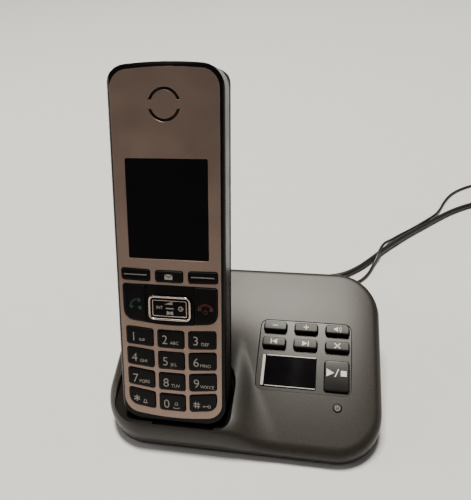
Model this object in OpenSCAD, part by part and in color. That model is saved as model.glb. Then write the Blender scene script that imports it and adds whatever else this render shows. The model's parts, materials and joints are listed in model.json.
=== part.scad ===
// Cordless telephone handset standing in its charging base, which holds an answering machine.
// Millimetres, +Z up, +X right, +Y to the back. The origin is the middle of the base's footprint,
// at the height of the surface that the feet stand on.

/* [Base] */
// Width of the base
base_w = 128; // [124:1:134]
// Depth of the base
base_d = 92; // [90:1:96]
// Corner radius of the footprint
base_corner = 21.5; // [18:0.5:24]
// Height of the top surface at its front edge
front_h = 8.2; // [7:0.2:9]
// Height of the top surface at its back edge
back_h = 37.2; // [35:0.1:39]
// How far the top surface bulges above a flat slope
crown = 1.5; // [0.5:0.1:2]
// Wall thickness of the base shells
base_wall = 2; // [1.6:0.1:2.4]

/* [Handset] */
// Width of the handset
hs_w = 48; // [47:0.5:49]
// Length of the handset
hs_l = 156; // [154:1:158]
// Thickness of the handset
hs_t = 26; // [25:0.5:27]
// Angle that the docked handset leans back from upright
lean = 23.3; // [21:0.1:25]
// Wall thickness of the handset shells
hs_wall = 1.6; // [1.4:0.1:1.8]
// Gap all round the handset in its cradle
dock_gap = 0.6; // [0.4:0.1:0.8]

/* [Keys] */
// Gap round each key in its opening
key_gap = 0.3; // [0.25:0.05:0.4]
// How far the handset's keys stand out of the fascia
key_proud = 0.5; // [0.3:0.1:0.8]
// How far the base's keys stand out of the panel
panel_key_h = 2.6; // [2:0.2:3.2]
// Vertical distance from one row of digits to the next
row_pitch = 10.05; // [9.9:0.05:10.1]

/* [Cords] */
// Diameter of the telephone line cord
line_d = 3.4; // [3:0.1:3.6]
// Diameter of the power lead
lead_d = 1.8; // [1.6:0.1:2]

/* [Hidden] */
$fn = 48;

parting_z = 3;                 // where the two base shells meet
foot_h = 1.2;                  // height of the rubber feet
back_edge = 3.9;               // how far the back wall leans in, from the feet to the top
top_run = base_d - back_edge;  // front to back length of the sloping top
slope = atan((back_h - front_h) / top_run);
far = 90;                      // longer than any wall, for cuts that go right through

mound_x = -0.2;                // right edge of the land round the cradle
mound_flank = 27;              // slope from that land down to the right, in degrees
mound_front_z = 15.2;          // height of the land at the front
mound_edge = 5.6;              // rounding of the land's left edge, and of the slope's two edges
slope_edge = 3;
rim_x = [-58.3, -3];           // the rim's inner edge, and the ledge just below it
rim_front = -43.8;
ledge_drop = 1.8;
ledge_end_x = -38;
mound_rise = 0.2208;           // how much it rises per millimetre towards the back
mound_end_y = 14;              // where it has sunk into the main slope

hs_x = -28;                    // place of the handset's lower front edge, docked
hs_y = -42.3;
hs_z = 13.7;
half_w = hs_w / 2;
split = 10;                    // depth where the handset's two shells meet
fascia_t = 1.2;
plate_t = 1.4;                 // the front frame's own plate, behind the fascia
cover_bottom = 32;             // the battery cover's lower and upper edges
cover_top = 98;
cover_half = 19;

panel_lift = 1.2;              // the panel's plane lies this far above the chord of the slope
panel_x = [6.2, 50.2];
panel_s = [25.5, 61.2];
col_x = [13.4, 28.5, 43.6];
row_s = [57.2, 48.7];

feet_at = [[-46, -32], [46, -32], [-46, 32], [46, 32]];
posts_at = [[-50, 10], [-20, 34], [56, -16], [56, 20]];
line_x = 20;                   // the two sockets in the back wall
power_x = 46;
line_z = 10;
power_z = 10;

// ---------- outlines ----------

function unit(v) = v / norm(v);

// The points that round off the corner b, between a and c, with radius r.
function corner_arc(a, b, c, r, n) =
    let (
        p = unit(a - b),
        q = unit(c - b),
        half = acos(max(-1, min(1, p * q))) / 2,
        reach = r / tan(half),
        centre = b + unit(p + q) * r / sin(half),
        from = b + p * reach - centre,
        to = b + q * reach - centre,
        turn = 180 - 2 * half
    )
    r <= 0 ? [b] : [
        for (i = [0:n])
            centre + from * sin((1 - i / n) * turn) / sin(turn) + to * sin(i / n * turn) / sin(turn)
    ];

// A closed outline from corners [x, y, radius].
function rounded(corners, n = 5) = [
    for (i = [0:len(corners) - 1])
        let (
            m = len(corners),
            at = function (k) [corners[k % m].x, corners[k % m].y]
        )
        each corner_arc(at(i + m - 1), at(i), at(i + 1), corners[i].z, n)
];

module slab(corners, from, to, n = 5) {
    translate([0, 0, from])
        linear_extrude(to - from)
            polygon(rounded(corners, n));
}

// A rectangle with round corners, made of true arcs.
module round_rect(w, d, r) {
    square([w - 2 * r, d], center = true);
    square([w, d - 2 * r], center = true);
    for (x = [-1, 1], y = [-1, 1])
        translate([x * (w / 2 - r), y * (d / 2 - r)])
            circle(r);
}

// ---------- base ----------

function chord_z(y) = front_h + (y + base_d / 2) * tan(slope);
function bulge(y) = let (t = (y + base_d / 2) / top_run) 4 * crown * t * (1 - t);
function top_z(y) = chord_z(y) + bulge(y);
function mound_z(y) = mound_front_z + (y + 43) * mound_rise;

// Extrudes an outline of [y, z] points from x = a to x = b.
module along_x(a, b) {
    translate([a, 0, 0])
        rotate([90, 0, 90])
            linear_extrude(b - a)
                children();
}

// Side outline of the main slope, sunk by g inside the outer surface.
module slope_side(g) {
    front = -base_d / 2;
    polygon([
        [front - 1, parting_z - 1],
        [front - 1, 5 - g],
        [front, 5 - g],
        for (i = [0:14])
            let (y = front + 3 + i * (top_run - 3) / 14) [y, top_z(y) - g],
        [-front + 1, top_z(-front - back_edge) - g],
        [-front + 1, parting_z - 1]
    ]);
}

// Side outline of the land round the cradle.
module mound_side(g) {
    front = -base_d / 2;
    polygon([
        [front - 1, parting_z - 1],
        [front - 1, 9 - g],
        [front, 9 - g],
        [front + 0.8, mound_z(front) - 1.6 - g],
        [front + 2.4, mound_z(front + 2.4) - g],
        [mound_end_y, mound_z(mound_end_y) - g],
        [mound_end_y + 1, parting_z - 1]
    ]);
}

module footprint(g = 0) {
    round_rect(base_w - 2 * g, base_d - 2 * g, base_corner - g);
}

// Places children on the plane of the land round the cradle.
module on_land() {
    translate([0, -43, mound_front_z])
        rotate([atan(mound_rise), 0, 0])
            children();
}

// Everything below a plane, with its left and right edges rounded by r.
module below(left_r, right_r, g) {
    half = base_w / 2;
    translate([0, 140, 0])
        rotate([90, 0, 0])
            linear_extrude(200)
                polygon([
                    [-half - 1, -far], [half + 1, -far], [half + 1, -right_r - g],
                    for (a = [0:15:90])
                        [half - right_r + right_r * cos(a), -right_r - g + right_r * sin(a)],
                    for (a = [90:15:180])
                        [-half + left_r + left_r * cos(a), -left_r - g + left_r * sin(a)],
                    [-half - 1, -left_r - g]
                ]);
}

// The solid inside the base's outer surface, sunk by g on every side.
module base_mass(g = 0) {
    intersection() {
        translate([0, 0, parting_z])
            linear_extrude(far)
                footprint(g);
        rotate([atan(back_edge / back_h), 0, 0])
            linear_extrude(far)
                footprint(g);
        union() {
            intersection() {
                along_x(-base_w / 2 - 1, base_w / 2 + 1)
                    slope_side(g);
                translate([0, -base_d / 2, front_h + crown])
                    rotate([slope, 0, 0])
                        below(slope_edge, slope_edge, g);
            }
            intersection() {
                along_x(-base_w / 2 - 1, mound_x + 20)
                    mound_side(g);
                on_land() {
                    intersection() {
                        below(mound_edge, 0, g);
                        translate([mound_x, 0, 0])
                            rotate([0, mound_flank, 0])
                                translate([-far, -40, -g - far])
                                    cube([2 * far, 120, far]);
                    }
                }
            }
        }
    }
}

// Places children on the panel's plane: x across, y up the slope, z out of the surface.
module on_slope() {
    translate([0, -base_d / 2, front_h + panel_lift])
        rotate([slope, 0, 0])
            children();
}

module panel_outline(g = 0) {
    translate([(panel_x[0] + panel_x[1]) / 2, (panel_s[0] + panel_s[1]) / 2])
        round_rect(panel_x[1] - panel_x[0] + 2 * g, panel_s[1] - panel_s[0] + 2 * g, 3.5 + g);
}

// The recess inside the rim: a shallow ledge at the left and front left, and deeper elsewhere.
module rim_recess() {
    on_land() {
        translate([0, 0, -ledge_drop])
            linear_extrude(30)
                polygon(rounded([
                    [rim_x[0], rim_front + 43, 9], [rim_x[1], rim_front + 43, 6.5],
                    [rim_x[1], 34, 4], [rim_x[0], 34, 4]
                ]));
        translate([0, 0, -2 * ledge_drop])
            linear_extrude(30)
                polygon(rounded([
                    [ledge_end_x, rim_front + 43, 0.5], [rim_x[1], rim_front + 43, 6.5],
                    [rim_x[1], 34, 4], [ledge_end_x, 34, 0.5]
                ]));
    }
}

module base_top_shell() {
    color([0.16, 0.155, 0.15])
        difference() {
            base_mass();
            difference() {
                base_mass(base_wall);
                for (p = posts_at)
                    translate([p.x, p.y, 0])
                        cylinder(d = 6, h = far);
                docked()
                    cup_mass(dock_gap + 1.8);
                on_land()
                    translate([-61, -1, -2 * ledge_drop - 1.6])
                        cube([60, 38, 2 * ledge_drop]);
            }
            for (p = posts_at)
                translate([p.x, p.y, 0])
                    cylinder(d = 2.6, h = 12);
            docked()
                cup_mass(dock_gap);
            rim_recess();
            cradle_recess(0);
            docked()
                contact_slots(5, -20, 3);
            on_slope()
                translate([0, 0, -6])
                    linear_extrude(20)
                        panel_outline(0.15);
            on_slope()
                translate([44.2, 20, -6])
                    cylinder(d = 3.8 + 2 * key_gap, h = 20);
            translate([line_x - 5.6, base_d / 2 - 6, line_z - 4.2])
                cube([11.2, 12, 8.4]);
            translate([power_x, base_d / 2 + 6, power_z])
                rotate([90, 0, 0])
                    cylinder(d = 9, h = 12);
        }
}

module base_bottom_shell() {
    color([0.09, 0.09, 0.09])
        difference() {
            union() {
                translate([0, 0, foot_h])
                    linear_extrude(parting_z - foot_h)
                        footprint(0.7);
                translate([0, 0, parting_z])
                    linear_extrude(2)
                        difference() {
                            intersection() {
                                footprint(base_wall + 0.2);
                                translate([0, -0.6])
                                    footprint(base_wall + 0.2);
                            }
                            footprint(base_wall + 1.6);
                            translate([-34, -45])
                                square([60, 30], center = true);
                            translate([33, 44])
                                square([46, 14], center = true);
                        }
            }
            for (p = posts_at)
                translate([p.x, p.y, 0]) {
                    cylinder(d = 2.9, h = 10);
                    cylinder(d = 5.6, h = foot_h + 1);
                }
            for (i = [-4:4])
                translate([30 + i * 3, 4, 0])
                    linear_extrude(10)
                        round_rect(1.4, 2 * sqrt(169 - 9 * i * i) - 4, 0.69);
        }
}

// ---------- panel and its keys ----------

module panel_key_outline(x, s, w, h, g = 0) {
    translate([x, s])
        round_rect(w + 2 * g, h + 2 * g, 0.9 + g);
}

// All seven keys: [column, middle up the slope, height].
function panel_keys() = [
    [0, row_s[0], 4.5], [1, row_s[0], 4.5], [2, row_s[0], 4.5],
    [0, row_s[1], 4.5], [1, row_s[1], 4.5], [2, row_s[1], 4.5],
    [2, 34.2, 14]
];
panel_key_w = 11.2;
window_x = [8.4, 34.2];
window_s = [27.2, 42.8];

module panel_key(i) {
    k = panel_keys()[i];
    color([0.1, 0.1, 0.1])
        on_slope() {
            translate([0, 0, -2.4])
                linear_extrude(panel_key_h + 2.4)
                    panel_key_outline(col_x[k[0]], k[1], panel_key_w, k[2]);
            translate([col_x[k[0]], k[1], -5.2])
                cylinder(d = 2.4, h = 3);
        }
}

module control_panel() {
    color([0.2, 0.19, 0.18])
        on_slope()
            translate([0, 0, -1.8])
                linear_extrude(1.6)
                    difference() {
                        panel_outline();
                        for (k = panel_keys())
                            panel_key_outline(col_x[k[0]], k[1], panel_key_w, k[2], key_gap);
                        translate([(window_x[0] + window_x[1]) / 2, (window_s[0] + window_s[1]) / 2])
                            round_rect(window_x[1] - window_x[0], window_s[1] - window_s[0], 0.5);
                    }
}

module message_window() {
    color([0.02, 0.02, 0.025])
        on_slope()
            translate([(window_x[0] + window_x[1]) / 2, (window_s[0] + window_s[1]) / 2, -1.8])
                linear_extrude(2.2)
                    round_rect(window_x[1] - window_x[0] - 0.2, window_s[1] - window_s[0] - 0.2, 0.5);
}

module paging_key() {
    color([0.16, 0.155, 0.15])
        on_slope()
            translate([44.2, 20, -5])
                cylinder(d = 3.8, h = 5.1);
}

// The board lies parallel to the panel and carries the switches and the two digit display.
module base_pcb() {
    color([0.05, 0.3, 0.12])
        on_slope() {
            translate([2, 16, -8.4])
                cube([50, 54, 1.6]);
            for (k = panel_keys())
                translate([col_x[k[0]] - 2, k[1] - 2, -6.8])
                    cube([4, 4, 0.7]);
            translate([42.2, 18, -6.8])
                cube([4, 4, 0.9]);
            translate([12, 29, -6.8])
                cube([19, 12, 4.8]);
            translate([8, 60, -11.4])
                cube([10, 8, 3]);
        }
}

module base_speaker() {
    color([0.25, 0.25, 0.26])
        translate([30, 4, parting_z + 0.1]) {
            cylinder(d = 30, h = 3);
            translate([0, 0, 3])
                cylinder(d = 17, h = 4);
        }
}

module rubber_feet() {
    color([0.05, 0.05, 0.05])
        for (p = feet_at)
            translate([p.x, p.y, 0])
                cylinder(d = 11, h = foot_h);
}

module screw(head_d, head_h, shaft_d, shaft_l) {
    difference() {
        cylinder(d = head_d, h = head_h);
        translate([0, 0, -1])
            cylinder(d = head_d * 0.4, h = 1 + head_h * 0.6, $fn = 6);
    }
    translate([0, 0, head_h])
        cylinder(d = shaft_d, h = shaft_l);
}

module base_screws() {
    color("silver")
        for (p = posts_at)
            translate([p.x, p.y, foot_h + 0.1])
                screw(5, 0.9, 2.5, 8.6);
}

// The line socket and the power socket, each facing the back.
module base_sockets() {
    color([0.07, 0.07, 0.07]) {
        difference() {
            translate([line_x - 6.5, base_d / 2 - 18, line_z - 5.5])
                cube([13, 14.3, 11]);
            translate([line_x - 4.95, base_d / 2 - 15, line_z - 3.45])
                cube([9.9, 14, 6.9]);
        }
        difference() {
            translate([power_x - 4.5, base_d / 2 - 17, power_z - 5.5])
                cube([9, 10.9, 10]);
            translate([power_x, base_d / 2, power_z])
                rotate([90, 0, 0])
                    cylinder(d = 5.9, h = 15);
        }
    }
}

// ---------- handset: x across, y into the handset from its face, z along it ----------

module docked() {
    translate([hs_x, hs_y, hs_z])
        rotate([-lean, 0, 0])
            children();
}

// Front outline, cross-section and side outline, each sunk by g.
function hs_front(g) = [
    [-half_w + g, 3.2 + g, 9 - g], [0, g, 110], [half_w - g, 3.2 + g, 9 - g],
    [half_w - g, hs_l - 2.2 - g, 9 - g], [0, hs_l - g, 150], [-half_w + g, hs_l - 2.2 - g, 9 - g]
];
function hs_section(g) = [
    [-half_w + g, g, 2.4 - g * 0.6], [half_w - g, g, 2.4 - g * 0.6], [half_w - g, 15, 14],
    [19 - g * 0.7, hs_t - g, 9 - g], [-19 + g * 0.7, hs_t - g, 9 - g], [-half_w + g, 15, 14]
];
function hs_side(g) = [
    [g, g, 2 - g * 0.6], [22 - g, g, 6 - g], [hs_t - g, 16, 40], [hs_t - g, 132, 50],
    [19 - g, hs_l - g, 8 - g], [g, hs_l - g, 2.6 - g * 0.6]
];

module section_run(g, from, to) {
    slab(hs_section(g), from, to);
}

module handset_mass(g = 0) {
    intersection() {
        section_run(g, -5, hs_l + 5);
        translate([0, 30, 0])
            rotate([90, 0, 0])
                slab(hs_front(g), 0, 35, 6);
        along_x(-half_w - 3, half_w + 3)
            polygon(rounded(hs_side(g), 5));
    }
}

// The docked handset's lower end grown by g, carried on straight upwards.
module cup_mass(g) {
    intersection() {
        section_run(-g, -5, 70);
        translate([0, 40, 0])
            rotate([90, 0, 0])
                linear_extrude(60)
                    polygon(rounded([
                        [-half_w - g, 3.2 - g, 9 + g], [0, -g, 110], [half_w + g, 3.2 - g, 9 + g],
                        [half_w + g, 70, 0], [-half_w - g, 70, 0]
                    ], 6));
        along_x(-half_w - 6, half_w + 6)
            polygon(rounded([
                [-g, -g, 0], [22 + g, -g, 6 + g], [hs_t + g, 16, 40], [hs_t + g, 70, 0], [-g, 70, 0]
            ]));
    }
}

contact_x = 14;                // charge contacts, either side of the middle
contact_y = [12, 18];

module contact_slots(w, from, to) {
    for (x = [-contact_x, contact_x])
        translate([x - w / 2, contact_y[0] - (w - 4) / 2, from])
            cube([w, contact_y[1] - contact_y[0] + w - 4, to - from]);
}

// The recess in the pocket's floor, and the insert that fills it, smaller by g.
module cradle_recess(g) {
    docked()
        translate([0, 1.2, -dock_gap - 1.2 + g])
            linear_extrude(1.3 - g)
                translate([0, 8.6])
                    round_rect(hs_w - 5 - 2 * g, 17.2 - 2 * g, 2);
}

module cradle_insert() {
    color([0.05, 0.05, 0.052])
        difference() {
            cradle_recess(0.1);
            docked()
                contact_slots(5, -6, 3);
        }
}

module charge_springs() {
    color("gold")
        docked()
            for (x = [-contact_x, contact_x])
                translate([x - 1.6, 13, 0]) {
                    translate([0, 0, -3])
                        cube([3.2, 0.6, 3.4]);
                    translate([0, 0.6, -0.2])
                        cube([3.2, 2.8, 0.6]);
                    translate([0, 3.4, -3])
                        cube([3.2, 0.6, 3.4]);
                }
}

// ---------- the handset's keys ----------

bow = [0.0027, 0.0036, 0.0045, 0.0054];  // how strongly each row of digits curves
digit_top = 44.9;              // upper edge of the first row, at the middle
digit_h = 7.8;
digit_half = 5.8;              // half width of a middle key
side_key = [8, 19.9];          // inner and outer edge of a side key

// Corners of a key from u0 to u1 whose edges follow a bow, grown by g.
function bowed(u0, u1, top, height, k, outer_r, g) = [
    [u0 - g, top - height + k * u0 * u0 - g, (u0 < -15 ? outer_r : 0.9) + g],
    [u1 + g, top - height + k * u1 * u1 - g, (u1 > 15 ? outer_r : 0.9) + g],
    [u1 + g, top + k * u1 * u1 + g, 0.9 + g],
    [u0 - g, top + k * u0 * u0 + g, 0.9 + g]
];

function column(c) =
    c == 0 ? [-side_key[1], -side_key[0]] : c == 1 ? [-digit_half, digit_half] : side_key;

function digit_key(i, g) =
    let (row = floor(i / 3), u = column(i % 3))
    bowed(u[0], u[1], digit_top - row * row_pitch, digit_h, bow[row], row == 3 ? 4.4 : 0.9, g);

soft_top = 71.7;
soft_h = 4.8;
function soft_key(i, g) =
    let (u = i == 1 ? [-5.9, 5.9] : i == 0 ? [-20.8, -8.5] : [8.5, 20.8])
    bowed(u[0], u[1], soft_top, soft_h, 0.001, 0.9, g);

// The dark field that holds the talk, navigation and end keys.
function cluster(g) = [
    [-20.6 - g, 49.6 - g, 4.5 + g], [0, 47.3 - g, 80], [20.6 + g, 49.6 - g, 4.5 + g],
    [20.6 + g, 65.1 + g, 0.9 + g], [-20.6 - g, 65.1 + g, 0.9 + g]
];
talk_edge = 10.9;              // where the talk and end keys meet the bezel between them
nav_z = 55.3;
nav_w = 18.6;
nav_h = 10.8;
nav_r = 2.4;
nav_band = 1.4;                // width of the bright ring

function box_corners(x0, x1, z0, z1, r) = [[x0, z0, r], [x1, z0, r], [x1, z1, r], [x0, z1, r]];
function nav_corners(g) =
    box_corners(-nav_w / 2 - g, nav_w / 2 + g, nav_z - nav_h / 2 - g, nav_z + nav_h / 2 + g, max(0.4, nav_r + g));

// Extrudes an outline of [x, z] points from depth a to depth b.
module into(a, b) {
    translate([0, b, 0])
        rotate([90, 0, 0])
            linear_extrude(b - a)
                children();
}

module shape(corners, n = 4) {
    polygon(rounded(corners, n));
}

key_floor = 3.4;               // depth of the keys' undersides
mat_top = 4;

module digit(i) {
    color([0.03, 0.03, 0.035])
        docked()
            into(-key_proud, key_floor)
                shape(digit_key(i, 0));
}

module soft(i) {
    color([0.03, 0.03, 0.035])
        docked()
            into(-key_proud, key_floor)
                shape(soft_key(i, 0));
}

// side is -1 for the talk key and 1 for the end key.
module call_key(side) {
    color([0.03, 0.03, 0.035])
        docked()
            into(-key_proud, key_floor)
                intersection() {
                    shape(cluster(0));
                    translate([side * (talk_edge + 15), 55])
                        square([30, 40], center = true);
                }
}

module nav_bezel() {
    color([0.03, 0.03, 0.035])
        docked()
            into(-0.1, 1.8)
                difference() {
                    intersection() {
                        shape(cluster(key_gap));
                        translate([0, 55])
                            square([2 * talk_edge - 0.6, 40], center = true);
                    }
                    shape(nav_corners(0.5));
                }
}

module nav_carrier() {
    color([0.08, 0.08, 0.08])
        docked() {
            into(0.9, 2.2)
                shape(nav_corners(-0.4));
            translate([0, 2.6, nav_z])
                sphere(r = 0.9);
        }
}

module nav_ring() {
    color([0.85, 0.78, 0.74])
        docked()
            into(-1.7, 0.3)
                difference() {
                    shape(nav_corners(0));
                    shape(nav_corners(-nav_band));
                }
}

module nav_plate() {
    color([0.03, 0.03, 0.035])
        docked()
            into(-1.1, 0.2)
                shape(nav_corners(-nav_band - 0.3));
}

// ---------- the handset's shells and what is in them ----------

fascia_half = 22.3;
function fascia(g) = [
    [-fascia_half - g, 5.2 - g, 7.5 + g], [0, 2.6 - g, 110], [fascia_half + g, 5.2 - g, 7.5 + g],
    [fascia_half + g, hs_l - 3.9 + g, 7.5 + g], [0, hs_l - 2.1 + g, 150],
    [-fascia_half - g, hs_l - 3.9 + g, 7.5 + g]
];
function window(g) = box_corners(-17.2 - g, 17.2 + g, 76.7 - g, 118.3 + g, 0.6 + max(0, g));
ear_z = 139.3;
ear_r = [5.5, 6.7];            // inner and outer radius of the earpiece slots

module ear_slots() {
    translate([0, ear_z])
        difference() {
            circle(ear_r[1]);
            circle(ear_r[0]);
            square([2 * ear_r[1] + 1, 3.4], center = true);
        }
}

module key_openings(g) {
    for (i = [0:11])
        shape(digit_key(i, g));
    for (i = [0:2])
        shape(soft_key(i, g));
    shape(cluster(g));
}

module handset_fascia() {
    color([0.55, 0.47, 0.43])
        docked()
            into(0, fascia_t)
                difference() {
                    shape(fascia(0), 7);
                    key_openings(key_gap);
                    shape(window(0.1));
                    ear_slots();
                }
}

screw_at = [[-17, 90], [17, 90]];

module handset_front_frame() {
    color([0.04, 0.038, 0.036])
        docked()
            difference() {
                union() {
                    difference() {
                        intersection() {
                            handset_mass();
                            into(-1, split)
                                square([100, 400], center = true);
                        }
                        handset_mass(hs_wall);
                    }
                    intersection() {
                        into(fascia_t, fascia_t + plate_t)
                            shape(fascia(0.4), 7);
                        handset_mass(0.4);
                    }
                    for (p = screw_at)
                        translate([p.x, split - 0.6, p.y])
                            rotate([90, 0, 0])
                                cylinder(d = 4, h = split - 0.6 - fascia_t - plate_t + 0.2);
                }
                into(-1, fascia_t)
                    shape(fascia(0.05), 7);
                into(-1, 3.2)
                    key_openings(key_gap);
                into(-1, 3.2)
                    shape(box_corners(-14.9, 14.9, 77.8, 117.2, 0.5));
                into(-1, 3.2)
                    translate([0, ear_z])
                        circle(7.4);
                for (p = screw_at)
                    translate([p.x, split, p.y])
                        rotate([90, 0, 0])
                            cylinder(d = 2.1, h = 5);
            }
}

bay = [[-13, 13], [36, 97.4]]; // the battery bay's width and length, inside its walls
bay_floor = 12;
ledge = hs_t - 8;              // depth of the ledge that the battery cover stands over

module handset_back_shell() {
    color([0.07, 0.068, 0.066])
        docked()
            difference() {
                union() {
                    difference() {
                        intersection() {
                            handset_mass();
                            into(split, 40)
                                square([100, 400], center = true);
                        }
                        handset_mass(hs_wall);
                    }
                    into(bay_floor - 1, hs_t - hs_wall - 0.4)
                        shape(box_corners(bay.x[0] - 1, bay.x[1] + 1, bay.y[0] - 1, bay.y[1] + 0.9, 1));
                    intersection() {
                        into(ledge - 1.5, ledge)
                            shape(box_corners(-30, 30, cover_bottom - 3, cover_top + 3, 1));
                        handset_mass(0.4);
                    }
                    for (p = screw_at)
                        translate([p.x, ledge - 1, p.y])
                            rotate([90, 0, 0])
                                cylinder(d = 4, h = ledge - 1 - split + 0.4);
                }
                into(bay_floor, 40)
                    shape(box_corners(bay.x[0], bay.x[1], bay.y[0], bay.y[1], 0.5));
                into(ledge, 40)
                    difference() {
                        shape(box_corners(-cover_half - 0.3, cover_half + 0.3, cover_bottom - 0.3, cover_top + 0.3, 3.3));
                        shape(box_corners(bay.x[0] - 1, bay.x[1] + 1, bay.y[0] - 1, bay.y[1] + 0.9, 1));
                    }
                into(hs_t - hs_wall - 0.4, 40)
                    shape(box_corners(-15.5, 15.5, 34, 98.3, 0.5));
                for (i = [-2:2])
                    into(hs_t - 4, 40)
                        translate([0, 125 + i * 3.2])
                            round_rect(14 - abs(i) * 2.2, 1.4, 0.69);
                translate([0, 0, -3])
                    contact_slots(5.4, 0, 6);
                for (p = screw_at)
                    translate([p.x, ledge + 1, p.y])
                        rotate([90, 0, 0])
                            cylinder(d = 2.3, h = 12);
            }
}

module battery_cover() {
    color([0.07, 0.068, 0.066])
        docked()
            difference() {
                intersection() {
                    handset_mass();
                    into(ledge + 0.3, 40)
                        shape(box_corners(-cover_half, cover_half, cover_bottom, cover_top, 3));
                }
                handset_mass(hs_wall);
                into(hs_t - 0.7, hs_t + 5)
                    shape(box_corners(-5, 5, cover_top - 8, cover_top - 5, 1.4));
            }
}

module display_window() {
    color([0.015, 0.015, 0.02])
        docked()
            into(0.05, fascia_t)
                shape(window(0));
}

module lcd_module() {
    color([0.06, 0.06, 0.07])
        docked()
            into(fascia_t + 0.1, 4.2)
                shape(box_corners(-14.7, 14.7, 78.1, 116.9, 0.5));
}

module earpiece_speaker() {
    color([0.12, 0.12, 0.12])
        docked()
            translate([0, 6, ear_z])
                rotate([90, 0, 0]) {
                    cylinder(d = 18, h = 3.2);
                    translate([0, 0, 3.2])
                        cylinder(d = 14.2, h = 1);
                }
}

module ringer_speaker() {
    color([0.2, 0.2, 0.21])
        docked()
            translate([0, 22.4, 125])
                rotate([90, 0, 0]) {
                    cylinder(d = 18, h = 3);
                    translate([0, 0, 3])
                        cylinder(d = 11, h = 2.5);
                }
}

module keypad_mat() {
    color([0.5, 0.5, 0.52])
        docked() {
            into(mat_top, mat_top + 1.2)
                shape(box_corners(-21, 21, 7, 74, 3));
            for (i = [0:11])
                let (u = column(i % 3), c = (u[0] + u[1]) / 2)
                    translate([c, mat_top + 1.2, digit_top - floor(i / 3) * row_pitch - digit_h / 2])
                        rotate([-90, 0, 0])
                            cylinder(d = 3, h = 0.5);
        }
}

module handset_pcb() {
    color([0.05, 0.3, 0.12])
        docked() {
            difference() {
                into(6.4, 7.4)
                    shape(box_corners(-20, 20, 8, 132, 3));
                for (p = screw_at)
                    translate([p.x, 12, p.y])
                        rotate([90, 0, 0])
                            cylinder(d = 5, h = 8);
            }
            into(7.4, 9.4)
                shape(box_corners(-9, 9, 104, 118, 0.5));
            translate([0, 9.4, 12])
                rotate([90, 0, 0])
                    cylinder(d = 5, h = 2);
        }
}

cell_z = [41, 85.5];

module battery_cells() {
    color([0.2, 0.45, 0.3])
        docked()
            for (x = [-7, 7])
                translate([x, 17.8, 0]) {
                    translate([0, 0, cell_z[0]])
                        cylinder(d = 10.5, h = cell_z[1] - cell_z[0] - 1);
                    translate([0, 0, cell_z[1] - 1])
                        cylinder(d = 3.8, h = 1);
                }
}

// Battery springs and plates at the ends of the bay, and the two charge contacts.
module handset_contacts() {
    color("silver")
        docked() {
            for (x = [-7, 7]) {
                translate([x - 3.5, 14.5, cell_z[1] + 0.1])
                    cube([7, 6.5, 0.5]);
                translate([x - 3.5, 14.5, bay.y[0] + 0.1])
                    cube([7, 6.5, 0.5]);
                translate([x, 17.8, bay.y[0] + 0.6])
                    cylinder(d1 = 6.5, d2 = 4, h = cell_z[0] - bay.y[0] - 0.7);
            }
            for (x = [-contact_x, contact_x])
                translate([x - 2, contact_y[0] + 0.4, 1])
                    cube([4, contact_y[1] - contact_y[0] - 0.8, 1.4]);
        }
}

module handset_screws() {
    color("silver")
        docked()
            for (p = screw_at)
                translate([p.x, ledge + 1.3, p.y])
                    rotate([90, 0, 0])
                        screw(3.6, 1.2, 2, 12);
}

// ---------- cords ----------

// Route of each cord, from its plug in the back of the base to where its coil begins.
line_route = [
    [20, 57.7, 10], [20, 64, 9.2], [22, 70, 6.5], [27, 75, 3.4], [34, 78.5, 1.9],
    [42, 80, 1.8], [50, 83.5, 1.8], [58, 90, 1.8], [66, 99, 1.8], [74, 109, 1.8],
    [83, 119, 1.8], [93, 129.5, 1.8], [104, 140, 1.8], [115, 150.5, 1.8], [126, 160, 1.8],
    [138, 168, 1.8], [150, 173.5, 1.8],     [163, 175.5, 1.8], [177, 174, 1.8]
];
line_end = [
    [200.5, 150.5, 12.2], [200.5, 143, 10.5], [200.6, 136, 6.6], [200.8, 129, 3], [200.6, 121, 1.8],
    [199.8, 112, 2.2], [199, 104, 3.4]
];
lead_route = [
    [46, 62, 10], [46, 66, 9.2], [48, 71, 6], [52, 74.5, 2.6], [57, 77, 1],
    [61, 81, 1], [64.5, 87, 1], [67.5, 94.5, 1.6], [70.5, 102, 4.2], [73, 109, 4.7],
    [76, 116, 3.4], [81, 123, 1.2], [88, 130, 1], [97, 138, 1.2], [107, 146.5, 2.6],
    [114, 155, 2], [119, 164.5, 1], [124, 175.5, 1], [131, 186.5, 1], [141, 195.5, 1],
    [152, 201.5, 1], [163, 204.6, 1], [172, 206.2, 1]
];
lead_end = [
    [172, 206.2, 10.2], [179, 206.6, 9], [186, 207.2, 5.6], [193, 208, 2.2], [201, 208.4, 1],
    [210, 208.4, 1], [218, 207.6, 3], [224.6, 205, 7.4], [228.2, 200.4, 11.4], [229, 194, 13.5]
];
line_coil_at = [177, 150.5];
line_coil_r = [16.6, 23.5];    // middle of the innermost and outermost turns
line_coil_h = 13.9;
lead_coil_at = [172, 192.4];
lead_coil_r = [8.25, 13.8];
lead_coil_h = 11.2;
adapter_at = [229, 158];       // middle of the power adapter

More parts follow.
